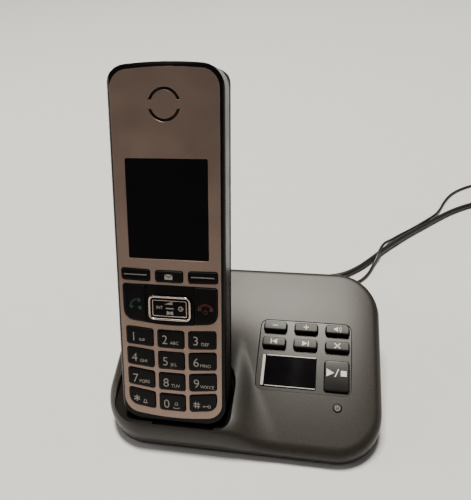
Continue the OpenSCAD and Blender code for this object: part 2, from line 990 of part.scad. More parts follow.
// A tube of 8 sides along points, as one closed polyhedron.
module tube(points, r) {
    sides = 8;
    n = len(points);
    dir = [
        for (i = [0:n - 1])
            unit(points[min(n - 1, i + 1)] - points[max(0, i - 1)])
    ];
    ring = [
        for (i = [0:n - 1])
            let (across = unit(cross(dir[i], [0, 0, 1])), up = cross(across, dir[i]))
            for (k = [0:sides - 1])
                points[i] + r * (across * cos(k * 360 / sides) + up * sin(k * 360 / sides))
    ];
    polyhedron(
        points = ring,
        faces = concat(
            [[for (k = [0:sides - 1]) k]],
            [[for (k = [sides - 1:-1:0]) (n - 1) * sides + k]],
            [
                for (i = [0:n - 2], k = [0:sides - 1], half = [0, 1])
                    let (a = i * sides + k, b = i * sides + (k + 1) % sides)
                    half == 0 ? [a, a + sides, b] : [b, a + sides, b + sides]
            ]
        ),
        convexity = 8
    );
}

module coil_ring(at, r, d, h) {
    translate([at.x, at.y, 0])
        rotate_extrude()
            translate([r[0] - d / 2 - 0.1, 0])
                square([r[1] - r[0] + d + 0.2, h]);
}

module line_cord() {
    color([0.05, 0.05, 0.05]) {
        tube(line_route, line_d / 2 * 0.98);
        tube(line_end, line_d / 2 * 0.98);
    }
}

module line_coil() {
    color([0.05, 0.05, 0.05])
        coil_ring(line_coil_at, line_coil_r, line_d, line_coil_h);
}

// A modular plug: its cord side is at the origin and it points along +y.
module modular_plug(length) {
    difference() {
        translate([-4.8, 0, -3.3])
            cube([9.6, length, 6.6]);
        for (i = [-1.5:1:1.5])
            translate([i * 1.02 - 0.25, length - 4, 2.2])
                cube([0.5, 5, 2]);
    }
    translate([-3, 0, -3.8])
        cube([6, 9, 0.6]);
}

module line_plugs() {
    color([0.75, 0.75, 0.75, 0.6]) {
        translate(line_route[0])
            rotate([0, 0, 180])
                modular_plug(25);
        translate(line_end[len(line_end) - 1] + [0, 0, 0.5])
            rotate([0, 0, 180])
                modular_plug(15);
    }
}

module power_lead() {
    color([0.05, 0.05, 0.05]) {
        tube(lead_route, lead_d / 2 * 0.98);
        tube(lead_end, lead_d / 2 * 0.98);
    }
}

module power_coil() {
    color([0.05, 0.05, 0.05])
        coil_ring(lead_coil_at, lead_coil_r, lead_d, lead_coil_h);
}

// A straight barrel plug with its tapered sleeve.
module power_plug() {
    color([0.05, 0.05, 0.05])
        translate([power_x, base_d / 2, power_z])
            rotate([-90, 0, 0]) {
                translate([0, 0, -12])
                    cylinder(d = 5.5, h = 12.5);
                cylinder(d = 8, h = 10);
                translate([0, 0, 10])
                    cylinder(d1 = 6, d2 = 3, h = 6);
            }
}

pin_d = 4;
pin_l = 19;
adapter = [34, 60, 27];        // width, length and height of the adapter's body

module power_adapter() {
    color([0.05, 0.05, 0.05])
        translate([adapter_at.x, adapter_at.y, 0]) {
            linear_extrude(adapter.z)
                round_rect(adapter.x, adapter.y, 4);
            translate([0, adapter.y / 2 + 6, adapter.z / 2])
                rotate([90, 0, 0])
                    cylinder(d1 = 3, d2 = 6, h = 6.5);
            for (x = [-9.3, 9.3])
                translate([x, -adapter.y / 2, adapter.z / 2])
                    rotate([90, 0, 0])
                        cylinder(d = pin_d, h = pin_l);
        }
}

base_top_shell();
base_bottom_shell();
cradle_insert();
control_panel();
message_window();
panel_key(0);  // volume_down_key
panel_key(1);  // volume_up_key
panel_key(2);  // loudspeaker_key
panel_key(3);  // previous_key
panel_key(4);  // next_key
panel_key(5);  // delete_key
panel_key(6);  // play_stop_key
paging_key();
base_pcb();
base_speaker();
charge_springs();
rubber_feet();
base_screws();
base_sockets();
handset_front_frame();
handset_fascia();
handset_back_shell();
battery_cover();
display_window();
lcd_module();
earpiece_speaker();
ringer_speaker();
keypad_mat();
handset_pcb();
battery_cells();
handset_contacts();
handset_screws();
digit(0);  // key_1
digit(1);  // key_2
digit(2);  // key_3
digit(3);  // key_4
digit(4);  // key_5
digit(5);  // key_6
digit(6);  // key_7
digit(7);  // key_8
digit(8);  // key_9
digit(9);  // key_star
digit(10);  // key_0
digit(11);  // key_hash
soft(0);  // soft_key_left
soft(1);  // message_key
soft(2);  // soft_key_right
call_key(-1);  // talk_key
call_key(1);  // end_key
nav_bezel();
nav_carrier();
nav_ring();
nav_plate();
line_cord();
line_coil();
line_plugs();
power_lead();
power_coil();
power_plug();
power_adapter();
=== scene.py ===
import bpy
import json
import math
import bmesh
from mathutils import Matrix, Vector


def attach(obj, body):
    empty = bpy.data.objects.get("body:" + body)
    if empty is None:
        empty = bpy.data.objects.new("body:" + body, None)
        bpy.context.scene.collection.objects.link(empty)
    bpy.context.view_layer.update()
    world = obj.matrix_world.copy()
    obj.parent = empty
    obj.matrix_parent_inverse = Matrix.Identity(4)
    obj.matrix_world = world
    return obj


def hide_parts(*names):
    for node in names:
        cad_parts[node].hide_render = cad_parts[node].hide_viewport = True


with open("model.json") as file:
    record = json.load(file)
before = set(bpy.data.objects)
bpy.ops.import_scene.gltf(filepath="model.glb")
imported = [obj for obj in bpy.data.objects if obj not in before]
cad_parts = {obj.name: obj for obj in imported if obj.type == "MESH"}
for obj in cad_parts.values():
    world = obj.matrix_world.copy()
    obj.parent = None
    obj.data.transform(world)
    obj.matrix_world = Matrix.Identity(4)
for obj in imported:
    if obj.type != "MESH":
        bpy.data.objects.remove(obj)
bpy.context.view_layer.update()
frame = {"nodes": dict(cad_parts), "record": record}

NODES = frame["nodes"]
MM = 0.001


def mm(*values):
    return Vector(values) * MM


def ease(t):
    """Rises from 0 to 1 with a soft start and end."""
    t = max(0.0, min(1.0, t))
    return t * t * (3 - 2 * t)


# ---------- camera, fitted to the photograph ----------

CAMERA_AT = mm(35.5, -168.8, 212.3)
CAMERA_AZIMUTH = math.radians(12.3)
CAMERA_ELEVATION = math.radians(35.56)
CAMERA_ROLL = math.radians(-4.96)
CAMERA_SENSOR, CAMERA_LENS = 36, 36.36
CAMERA_SHIFT_Y = -0.0276


def add_camera():
    back = Vector((
        math.sin(CAMERA_AZIMUTH) * math.cos(CAMERA_ELEVATION),
        -math.cos(CAMERA_AZIMUTH) * math.cos(CAMERA_ELEVATION),
        math.sin(CAMERA_ELEVATION),
    ))
    level = Vector((math.cos(CAMERA_AZIMUTH), math.sin(CAMERA_AZIMUTH), 0))
    above = back.cross(level)
    right = level * math.cos(CAMERA_ROLL) + above * math.sin(CAMERA_ROLL)
    up = back.cross(right)
    data = bpy.data.cameras.new("camera")
    data.sensor_width = CAMERA_SENSOR
    data.lens = CAMERA_LENS
    data.shift_y = CAMERA_SHIFT_Y
    data.clip_start = 0.01
    camera = bpy.data.objects.new("camera", data)
    bpy.context.scene.collection.objects.link(camera)
    camera.matrix_world = Matrix.Translation(CAMERA_AT) @ Matrix((right, up, back)).transposed().to_4x4()
    bpy.context.scene.camera = camera


add_camera()


# ---------- cords: routes in millimetres, as in the part's source ----------

LINE_D, LEAD_D = 3.4, 1.8
ROUTE_STEPS, TURN_STEPS = 5, 30
SHIFT_OVER = 0.2    # the share of a coil's turn in which it moves to the next column
FLOOR_GAP = 0.02
LINE_ROUTE = [
    (20, 57.7, 10), (20, 64, 9.2), (22, 70, 6.5), (27, 75, 3.4), (34, 78.5, 1.9),
    (42, 80, 1.8), (50, 83.5, 1.8), (58, 90, 1.8), (66, 99, 1.8), (74, 109, 1.8),
    (83, 119, 1.8), (93, 129.5, 1.8), (104, 140, 1.8), (115, 150.5, 1.8), (126, 160, 1.8),
    (138, 168, 1.8), (150, 173.5, 1.8), (163, 175.5, 1.8), (177, 174, 1.8),
]
LINE_END = [
    (200.5, 150.5, 12.2), (200.5, 143, 10.5), (200.6, 136, 6.6), (200.8, 129, 3), (200.6, 121, 1.8),
    (199.8, 112, 2.2), (199, 104, 3.4),
]
LEAD_ROUTE = [
    (46, 62, 10), (46, 66, 9.2), (48, 71, 6), (52, 74.5, 2.6), (57, 77, 1),
    (61, 81, 1), (64.5, 87, 1), (67.5, 94.5, 1.6), (70.5, 102, 4.2), (73, 109, 4.7),
    (76, 116, 3.4), (81, 123, 1.2), (88, 130, 1), (97, 138, 1.2), (107, 146.5, 2.6),
    (114, 155, 2), (119, 164.5, 1), (124, 175.5, 1), (131, 186.5, 1), (141, 195.5, 1),
    (152, 201.5, 1), (163, 204.6, 1), (172, 206.2, 1),
]
LEAD_END = [
    (172, 206.2, 10.2), (179, 206.6, 9), (186, 207.2, 5.6), (193, 208, 2.2), (201, 208.4, 1),
    (210, 208.4, 1), (218, 207.6, 3), (224.6, 205, 7.4), (228.2, 200.4, 11.4), (229, 194, 13.5),
]


def smooth_route(points):
    """Points along a smooth curve through a cord's route."""
    knots = [Vector(p) for p in points]
    knots = [knots[0] * 2 - knots[1], *knots, knots[-1] * 2 - knots[-2]]
    path = []
    for a, b, c, d in zip(knots, knots[1:], knots[2:], knots[3:]):
        for i in range(ROUTE_STEPS):
            t = i / ROUTE_STEPS
            path.append(0.5 * (
                2 * b + (c - a) * t + (2 * a - 5 * b + 4 * c - d) * t * t
                + (3 * b - a - 3 * c + d) * t * t * t
            ))
    return path + [knots[-2]]


def coil_turns(centre, inner, columns, layers, pitch, low, turns):
    """Turns wound clockwise from the top of a coil's outermost turn, layer on layer."""
    def place(turn):
        layer, column = divmod(turn, columns)
        if layer % 2 == 0:
            column = columns - 1 - column
        return inner + column * pitch, low + min(layer, layers - 1) * pitch

    path = []
    for i in range(round(turns * TURN_STEPS)):
        turn, step = divmod(i, TURN_STEPS)
        share = ease((step / TURN_STEPS - (1 - SHIFT_OVER)) / SHIFT_OVER)
        (r0, z0), (r1, z1) = place(turn), place(turn + 1)
        r, z = r0 + (r1 - r0) * share, z0 + (z1 - z0) * share
        angle = math.pi / 2 - 2 * math.pi * i / TURN_STEPS
        path.append(Vector((centre[0] + r * math.cos(angle), centre[1] + r * math.sin(angle), z)))
    return path


def cord_piece(name, path, diameter, body):
    """A round cord along a path, kept just above the floor."""
    data = bpy.data.curves.new(name, "CURVE")
    data.dimensions = "3D"
    data.bevel_depth = diameter / 2
    data.bevel_resolution = 5
    data.use_fill_caps = True
    spline = data.splines.new("POLY")
    spline.points.add(len(path) - 1)
    low = diameter / 2 + FLOOR_GAP
    for point, place in zip(spline.points, path):
        point.co = (place.x * MM, place.y * MM, max(place.z, low) * MM, 1)
        point.radius = MM    # scales the bevel, and the curve's own bounding box too
    spline.use_smooth = True
    piece = bpy.data.objects.new(name, data)
    bpy.context.scene.collection.objects.link(piece)
    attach(piece, body)
    return piece


line_path = (
    smooth_route(LINE_ROUTE)[:-1]
    + coil_turns((177, 150.5), inner=16.6, columns=3, layers=4, pitch=3.45, low=1.8, turns=11.25)
    + smooth_route(LINE_END)
)
lead_path = (
    smooth_route(LEAD_ROUTE)[:-1]
    + coil_turns((172, 192.4), inner=8.25, columns=4, layers=6, pitch=1.85, low=1, turns=23)
    + smooth_route(LEAD_END)
)
line_cord = cord_piece("telephone_line_cord", line_path, LINE_D, "base")
power_cord = cord_piece("power_lead_cord", lead_path, LEAD_D, "base")
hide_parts("line_cord", "line_coil")
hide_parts("power_lead", "power_coil")


# ---------- materials ----------

BROAD = 14    # millimetres across the broad variation in tone and roughness


def shader(name, base, rough, metallic=0.0, specular=0.5, spread=0.08,
           grain=0.0, grain_size=0.2, rough_spread=0.05, sparkle=0.0):
    """A surface whose tone, roughness and fine relief vary; grain and its size are in millimetres."""
    m = bpy.data.materials.new(name)
    m.use_nodes = True
    nodes, links = m.node_tree.nodes, m.node_tree.links
    bsdf = nodes["Principled BSDF"]
    bsdf.inputs["Metallic"].default_value = metallic
    bsdf.inputs["Specular IOR Level"].default_value = specular
    place = nodes.new("ShaderNodeTexCoord")

    def noise(size, detail=2.0):
        n = nodes.new("ShaderNodeTexNoise")
        n.inputs["Scale"].default_value = 1 / (size * MM)
        n.inputs["Detail"].default_value = detail
        links.new(place.outputs["Object"], n.inputs["Vector"])
        return n.outputs["Fac"]

    def spread_to(fac, low, high):
        r = nodes.new("ShaderNodeMapRange")
        r.inputs["From Min"].default_value = 0.25
        r.inputs["From Max"].default_value = 0.75
        r.inputs["To Min"].default_value = low
        r.inputs["To Max"].default_value = high
        links.new(fac, r.inputs["Value"])
        return r.outputs["Result"]

    def tone(fac, low, high):
        t = nodes.new("ShaderNodeValToRGB")
        t.color_ramp.elements[0].position = 0.3
        t.color_ramp.elements[1].position = 0.7
        t.color_ramp.elements[0].color = (*[c * low for c in base], 1)
        t.color_ramp.elements[1].color = (*[min(1, c * high) for c in base], 1)
        links.new(fac, t.inputs["Fac"])
        return t.outputs["Color"]

    broad = noise(BROAD)
    fine = noise(grain_size, 3.0)
    colour = tone(fine if sparkle else broad, 1 - spread - sparkle, 1 + spread + sparkle)
    links.new(colour, bsdf.inputs["Base Color"])
    gloss = spread_to(broad, max(0.02, rough - rough_spread), rough + rough_spread)
    links.new(gloss, bsdf.inputs["Roughness"])
    if grain:
        bump = nodes.new("ShaderNodeBump")
        bump.inputs["Strength"].default_value = 1.0
        bump.inputs["Distance"].default_value = grain * MM
        links.new(fine, bump.inputs["Height"])
        links.new(bump.outputs["Normal"], bsdf.inputs["Normal"])
    return m


def shaders(table):
    """Materials by name, from a table of colour, roughness and other settings."""
    return {name: shader(name, colour, rough, **more) for name, (colour, rough, more) in table.items()}


MATERIALS = shaders({
    "shell_plastic": ((0.026, 0.0225, 0.019), 0.38, dict(
        specular=0.3, grain=0.035, grain_size=0.5, sparkle=0.25, rough_spread=0.008)),
    # Also used for the pocket and deep cut faces: painted shade in the recess, standing in part for a black
    # cradle insert.
    "dark_plastic": ((0.012, 0.012, 0.0125), 0.45, dict(specular=0.35, grain=0.02, grain_size=0.3)),
    "panel_plastic": ((0.028, 0.025, 0.023), 0.25, dict(
        specular=0.22, grain=0.004, grain_size=0.3, rough_spread=0.01)),
    "panel_key_plastic": ((0.011, 0.0105, 0.01), 0.38, dict(specular=0.32, grain=0.006, grain_size=0.3)),
    "smoked_window": ((0.004, 0.0035, 0.0045), 0.05, dict(specular=0.25)),
    "circuit_board": ((0.02, 0.12, 0.05), 0.35, {}),
    "speaker_metal": ((0.05, 0.05, 0.052), 0.5, dict(metallic=0.4, grain=0.01)),
    "contact_metal": ((0.8, 0.75, 0.6), 0.2, dict(metallic=1.0)),
    "foot_rubber": ((0.02, 0.02, 0.02), 0.8, dict(grain=0.03)),
    "screw_steel": ((0.5, 0.5, 0.5), 0.3, dict(metallic=1.0)),
    "fascia_paint": ((0.35, 0.252, 0.208), 0.42, dict(
        metallic=0.85, grain=0.004, grain_size=0.12, sparkle=0.1)),
    "frame_gloss": ((0.005, 0.0045, 0.005), 0.26, dict(specular=0.12, grain=0.001, grain_size=1.2)),
    # Also used for the rim cut's faces, as painted shade on the cradle's ledge.
    "handset_satin": ((0.011, 0.0095, 0.0085), 0.62, dict(specular=0.05, grain=0.012, grain_size=0.3)),
    "lcd_glass": ((0.03, 0.035, 0.035), 0.1, {}),
    "key_rubber": ((0.5, 0.5, 0.52), 0.7, {}),
    "cell_wrap": ((0.1, 0.25, 0.14), 0.3, {}),
    "nav_chrome": ((0.72, 0.60, 0.54), 0.24, dict(metallic=1.0, grain=0.002, grain_size=0.2)),
    "carrier_plastic": ((0.05, 0.05, 0.05), 0.5, {}),
    "cord_jacket": ((0.012, 0.011, 0.011), 0.35, dict(grain=0.006, grain_size=0.5)),
    "clear_plug": ((0.6, 0.62, 0.62), 0.15, {}),
})
SLOT_OF = {row["node"]: row["material_slot"] for row in frame["record"]["subparts"]}


def finish_node(name, edge):
    """Gives a CAD node its material and rounds its edges; edge is in millimetres."""
    node = NODES[name]
    node.data.materials.clear()
    node.data.materials.append(MATERIALS[SLOT_OF[name]])
    weld = node.modifiers.new("weld", "WELD")
    weld.merge_threshold = 0.00002
    flat = node.modifiers.new("flat", "DECIMATE")
    flat.decimate_type = "DISSOLVE"
    flat.angle_limit = math.radians(1)
    if edge:
        bevel = node.modifiers.new("edge", "BEVEL")
        bevel.width = edge * MM
        bevel.segments = 3
        bevel.limit_method = "ANGLE"
        bevel.angle_limit = math.radians(35)
        bevel.harden_normals = False
        bevel.miter_outer = "MITER_ARC"
    weighted = node.modifiers.new("weighted", "WEIGHTED_NORMAL")
    weighted.keep_sharp = True


EDGES = {
    "base_top_shell": 0.3, "base_bottom_shell": 0.3, "control_panel": 0.2, "power_adapter": 1.5,
    "line_plugs": 0.3, "handset_fascia": 0.15, "handset_front_frame": 0.2, "handset_back_shell": 0.2,
    "nav_ring": 0.5, "battery_cover": 0.3,
}
KEY_EDGE = 0.45
for name in NODES:
    is_key = "key" in name and name != "keypad_mat"
    finish_node(name, KEY_EDGE if is_key else EDGES.get(name, 0.0))
for piece in (line_cord, power_cord):
    piece.data.materials.append(MATERIALS["cord_jacket"])


# ---------- mesh helpers: outlines in millimetres ----------

ALMOST_STRAIGHT = 1.57


def rounded(corners, steps=8):
    """A closed outline from corners (x, y, radius)."""
    outline = []
    count = len(corners)
    for i, (x, y, radius) in enumerate(corners):
        here = Vector((x, y))
        p = (Vector(corners[i - 1][:2]) - here).normalized()
        q = (Vector(corners[(i + 1) % count][:2]) - here).normalized()
        half = math.acos(max(-1, min(1, p.dot(q)))) / 2
        if radius <= 0 or half > ALMOST_STRAIGHT:
            outline.append(here)
            continue
        centre = here + (p + q).normalized() * radius / math.sin(half)
        start = here + p * radius / math.tan(half) - centre
        end = here + q * radius / math.tan(half) - centre
        turn = math.pi - 2 * half
        for k in range(steps + 1):
            t = k / steps
            outline.append(
                centre + (start * math.sin((1 - t) * turn) + end * math.sin(t * turn)) / math.sin(turn)
            )
    return outline


def grown(corners, g):
    """The corners of a convex outline, each side moved out by g."""
    count = len(corners)
    out = []
    for i, (x, y, radius) in enumerate(corners):
        here = Vector((x, y))
        a = (here - Vector(corners[i - 1][:2])).normalized()
        b = (Vector(corners[(i + 1) % count][:2]) - here).normalized()
        na, nb = Vector((a.y, -a.x)), Vector((b.y, -b.x))
        both = (na + nb) / (1 + na.dot(nb))
        out.append((x + both.x * g, y + both.y * g, max(0, radius + g)))
    return out


def piece_from(name, points, faces, material=None, body=None, frame_matrix=None):
    """An object from points in millimetres, placed by frame_matrix, which is in millimetres too."""
    mesh = bpy.data.meshes.new(name)
    place = frame_matrix or Matrix.Identity(4)
    mesh.from_pydata([(place @ Vector(p)) * MM for p in points], [], faces)
    mesh.validate()
    work = bmesh.new()
    work.from_mesh(mesh)
    bmesh.ops.recalc_face_normals(work, faces=work.faces)
    work.to_mesh(mesh)
    work.free()
    mesh.shade_smooth()
    piece = bpy.data.objects.new(name, mesh)
    bpy.context.scene.collection.objects.link(piece)
    if material:
        mesh.materials.append(MATERIALS[material])
    if body:
        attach(piece, body)
    return piece


def walls(rings, closed=False):
    """Faces between rings of equal count, and from the last ring to the first if closed."""
    count = len(rings[0])
    faces = []
    for k in range(len(rings) - (0 if closed else 1)):
        here, there = k * count, (k + 1) % len(rings) * count
        for i in range(count):
            j = (i + 1) % count
            faces.append((here + i, here + j, there + j, there + i))
    return faces


def loft(rings):
    """Points and faces of a solid through rings of equal count."""
    count = len(rings[0])
    points = [p for ring in rings for p in ring]
    caps = [tuple(reversed(range(count))), tuple(range(len(points) - count, len(points)))]
    return points, caps + walls(rings)


def tube(rings):
    """Points and faces of a bent bar: its rings run round the profile, and the last meets the first."""
    return [p for ring in rings for p in ring], walls(rings, closed=True)


def stacked(corners, levels, steps=8, along=0):
    """Rings of an outline's corners at (height, growth) levels; along puts points on its sides."""
    rings = []
    for z, g in levels:
        outline = rounded(grown(corners, g) if g else corners, steps)
        if along:
            spread = []
            for i, a in enumerate(outline):
                b = outline[(i + 1) % len(outline)]
                count = along if i % (steps + 1) == steps else 1
                spread += [a.lerp(b, k / count) for k in range(count)]
            outline = spread
        rings.append([Vector((p.x, p.y, z)) for p in outline])
    return rings


def prism(corners, levels):
    """A solid from an outline's corners and (height, growth) levels."""
    return loft(stacked(corners, levels))


def box(u0, u1, v0, v1):
    return [(u0, v0), (u1, v0), (u1, v1), (u0, v1)]


def round_box(u0, u1, v0, v1, radius):
    return [(u, v, radius) for u, v in box(u0, u1, v0, v1)]


def cut(piece, cutters):
    """Takes the cutters' solids out of a piece, for good."""
    for cutter in cutters:
        boolean = piece.modifiers.new("cut", "BOOLEAN")
        boolean.material_mode = "TRANSFER"
        boolean.operation = "DIFFERENCE"
        boolean.solver = "EXACT"
        boolean.object = cutter
    bpy.context.view_layer.update()
    done = bpy.data.meshes.new_from_object(piece.evaluated_get(bpy.context.evaluated_depsgraph_get()))
    piece.modifiers.clear()
    piece.data = done
    for cutter in cutters:
        bpy.data.objects.remove(cutter)


def smooth_by_angle(piece, degrees):
    """Shades a piece smooth, with edges sharper than degrees left sharp."""
    piece.data.shade_smooth()
    piece.data.set_sharp_from_angle(angle=math.radians(degrees))
    weighted = piece.modifiers.new("weighted", "WEIGHTED_NORMAL")
    weighted.keep_sharp = True


# ---------- base housing ----------

HALF_W, FRONT, BACK, BACK_LEAN = 64.0, -46.0, 46.0, 3.9
PLAN_R = 21.5
FRONT_H, BACK_H, CROWN = 8.2, 37.2, 1.5
TOP_RUN = BACK - FRONT - BACK_LEAN
SLOPE = math.atan((BACK_H - FRONT_H) / TOP_RUN)
PARTING_Z = 3.0
LAND_FRONT, LAND_Z, LAND_RISE = -43, 15.2, 0.2208
FLANK, CREASE = math.tan(math.radians(27)), 4.2
CORNER_AT, CORNER_R = (-7.0, -37.5), 6.8
PANEL_LIFT = 1.2
LEAN = math.radians(23.3)
HANDSET_AT = (-28.0, -42.3, 13.7)
PAGING_AT, PAGING_R = (44.2, 20.0), 2.1
SOCKETS = [(20, 10, 4.95, 3.45), (46, 10, 2.95, 2.95)]    # middle x and z, half width and height

# Places to build on: the panel's slope, the cradle's land, the docked handset, the back wall.
ON_SLOPE = Matrix.Translation((0, FRONT, FRONT_H + PANEL_LIFT)) @ Matrix.Rotation(SLOPE, 4, "X")
ON_LAND = Matrix.Translation((0, LAND_FRONT, LAND_Z)) @ Matrix.Rotation(math.atan(LAND_RISE), 4, "X")
DOCKED = Matrix.Translation(HANDSET_AT) @ Matrix.Rotation(-LEAN, 4, "X")
ON_BACK = Matrix.Rotation(math.pi / 2, 4, "X")

# How the housing's top is softened.
SEAM_R, SEAM_R_GROWS, SEAM_OVER = 0.5, 4.5, 6     # where the land meets the slope
RIM_R = 3.2                                       # along the outer edge
LAND_RIM_R, LAND_RIM_DEEPENS, LAND_LIFT = 2.6, 3.6, 4    # along the edge where the land is high
LEFT_FROM, LEFT_OVER, LEFT_RIM_GROWS = 40, 22, 3.4       # towards the left side
SIDE_FROM, SIDE_OVER, SIDE_DROP, SIDE_BEND = 46, 18, 2.2, 0.9    # the fall towards the right side

# The rings of points that the housing is made from.
CORNER_STEPS, SIDE_STEPS = 20, (70, 110)
CORE_R, CORE_R_SHRINK = 1.5, 0.02
FOOT_INSET = 0.5
WALL_SHARES = (0, 0.04, 0.12, 0.25, 0.45, 0.7, 0.92)
RIM_INSETS = (0, 0.05, 0.2, 0.45, 0.8, 1.25, 1.8, 2.4, 3.1, 3.9, 4.8, 5.8)
INSET_STEP, LAST_INSET = 0.95, 42.5

# What is cut out of it: corners (x, y, radius) and levels (height, growth).
PANEL_CUT = round_box(6.05, 50.35, 25.35, 61.35, 3.6)
PANEL_FLARE = [(-6, 0), (0.0, 0), (0.15, 0.1), (0.3, 0.3), (0.6, 0.9), (9, 1)]
RIM_CUT = [(-58.3, -0.8, 9), (-3, -0.8, 6.5), (-3, 34, 14), (-58.3, 34, 4)]
RIM_FLARE = [
    (-1.8, -0.5), (-1.5, -0.15), (-1.2, 0), (-0.7, 0.05), (-0.3, 0.3), (0, 0.8), (0.3, 1.8), (20, 1.9),
]
DEEP_CUT = [(-38, -0.8, 0.3), (-9, -0.8, 3), (-9, 33, 3), (-38, 33, 0.3)]
DEEP_LEVELS = [(-3.6, -0.2), (-3.3, 0), (-1.0, 0)]
PAGING_LEVELS, SOCKET_LEVELS, SOCKET_R = [(-4, 0), (3, 0)], [(-50, 0), (-38, 0)], 0.8
POCKET_HALF_W, POCKET_NEAR, POCKET_FAR = 24.7, -0.7, 26.7
POCKET_BEND_Y, POCKET_BEND_R, POCKET_TAPER = 15, 13, 5.7    # where its sides turn in, and how far
POCKET_NEAR_R, POCKET_FAR_R = 3, 8
POCKET_LEVELS = [    # height, how much narrower, how much shallower
    (-0.6, 7.0, 2), (0.1, 5.2, 0.8), (1.0, 3.8, 0.2), (2.2, 2.5, 0),
    (3.6, 1.4, 0), (5.4, 0.5, 0), (7.4, 0, 0), (60, 0, 0),
]


def smooth_max(a, b, k):
    """The larger of two heights, blended where they are within k of each other."""
    h = max(k - abs(a - b), 0.0) / k
    return max(a, b) + h * h * k / 4


def slope_z(y):
    """Height of the slope that carries the panel."""
    t = (y - FRONT) / TOP_RUN
    return FRONT_H + (BACK_H - FRONT_H) * t + 4 * CROWN * t * (1 - t)


def land_top_z(y):
    """Height of the land's flat top, which rises towards the back."""
    return LAND_Z + (y - LAND_FRONT) * LAND_RISE


def land_z(x, y):
    """Height of the cradle's raised land, or of its flank away from it."""
    dx, dy = x - CORNER_AT[0], CORNER_AT[1] - y
    away = (math.hypot(dx, dy) if dx > 0 and dy > 0 else max(dx, dy)) - CORNER_R
    if away < -CREASE:
        fall = 0
    elif away > CREASE:
        fall = away
    else:
        fall = (away + CREASE) ** 2 / (4 * CREASE)
    return land_top_z(y) - FLANK * fall


def quarter(t):
    """How far a quarter circle of radius 1 has dropped, t along from its top."""
    return 1 - math.sqrt(max(0.0, 1 - t ** 2))


def housing_z(x, y, inside):
    """Height of the housing's top; inside is the distance from the outline."""
    low, high = slope_z(y), land_z(x, y)
    top = smooth_max(low, high, SEAM_R + SEAM_R_GROWS * ease((land_top_z(y) - low) / SEAM_OVER))
    raised = ease((high - low) / LAND_LIFT)
    left = ease((-x - LEFT_FROM) / LEFT_OVER)
    across = RIM_R + raised * (LAND_RIM_R + LEFT_RIM_GROWS * left - RIM_R)
    down = RIM_R + raised * LAND_RIM_DEEPENS
    side = min(max(0.0, (x - SIDE_FROM) / SIDE_OVER), 1.0)
    top -= SIDE_DROP * (1 - math.sqrt(1 - SIDE_BEND * side ** 2))
    if inside < across:
        top -= down * quarter((across - inside) / across)
    return top


def plan_ring(inset, back):
    """Points of the housing's outline, moved in by inset, from its front right corner on."""
    x, y0, y1 = HALF_W - inset, FRONT + inset, back - inset
    r = max(PLAN_R - inset, CORE_R - inset * CORE_R_SHRINK)
    centres = [(x - r, y0 + r), (x - r, y1 - r), (-x + r, y1 - r), (-x + r, y0 + r)]
    ring = []
    for k, (cx, cy) in enumerate(centres):
        start = 90 * k - 90
        for i in range(CORNER_STEPS):
            a = math.radians(start + 90 * i / CORNER_STEPS)
            ring.append((cx + r * math.cos(a), cy + r * math.sin(a)))
        nx, ny = centres[(k + 1) % 4]
        a = math.radians(start + 90)
        from_x, from_y = cx + r * math.cos(a), cy + r * math.sin(a)
        to_x, to_y = nx + r * math.cos(a), ny + r * math.sin(a)
        count = SIDE_STEPS[k % 2]
        for i in range(count):
            t = i / count
            ring.append((from_x + (to_x - from_x) * t, from_y + (to_y - from_y) * t))
    return ring


def housing_solid():
    """Points and faces of the housing before anything is cut out of it."""
    back_top = BACK - BACK_LEAN
    foot, outline = plan_ring(FOOT_INSET, BACK), plan_ring(0, back_top)
    edge = [housing_z(x, y, 0) for x, y in outline]
    rings = []
    for share in WALL_SHARES:
        bow = math.sin(share * math.pi / 2)
        rings.append([
            Vector((x0 + (x1 - x0) * bow, y0 + (y1 - y0) * share, PARTING_Z + (top - PARTING_Z) * share))
            for (x0, y0), (x1, y1), top in zip(foot, outline, edge)
        ])
    insets = list(RIM_INSETS)
    while insets[-1] < LAST_INSET:
        insets.append(insets[-1] + INSET_STEP)
    for inset in insets:
        rings.append([Vector((x, y, housing_z(x, y, inset))) for x, y in plan_ring(inset, back_top)])
    points, faces = loft(rings)
    # The last ring is long and thin: quads from its front to its back close it, not one flat face.
    faces.pop(1)
    count = len(outline)
    first = len(points) - count
    for i in range(count * 5 // 8, count * 9 // 8):
        across = [i % count, (i + 1) % count, (count // 4 - 1 - i) % count, (count // 4 - i) % count]
        faces.append(tuple(first + k for k in dict.fromkeys(across)))
    return points, faces


def pocket_solid():
    """The room for the handset's foot, which narrows towards its floor."""
    rings = []
    for z, narrow, shallow in POCKET_LEVELS:
        wide, near, far = POCKET_HALF_W - narrow, POCKET_NEAR + shallow, POCKET_FAR - shallow
        corners = [
            (-wide, near, POCKET_NEAR_R), (wide, near, POCKET_NEAR_R), (wide, POCKET_BEND_Y, POCKET_BEND_R),
            (wide - POCKET_TAPER, far, POCKET_FAR_R), (POCKET_TAPER - wide, far, POCKET_FAR_R),
            (-wide, POCKET_BEND_Y, POCKET_BEND_R),
        ]
        rings.append([Vector((p.x, p.y, z)) for p in rounded(corners)])
    return loft(rings)


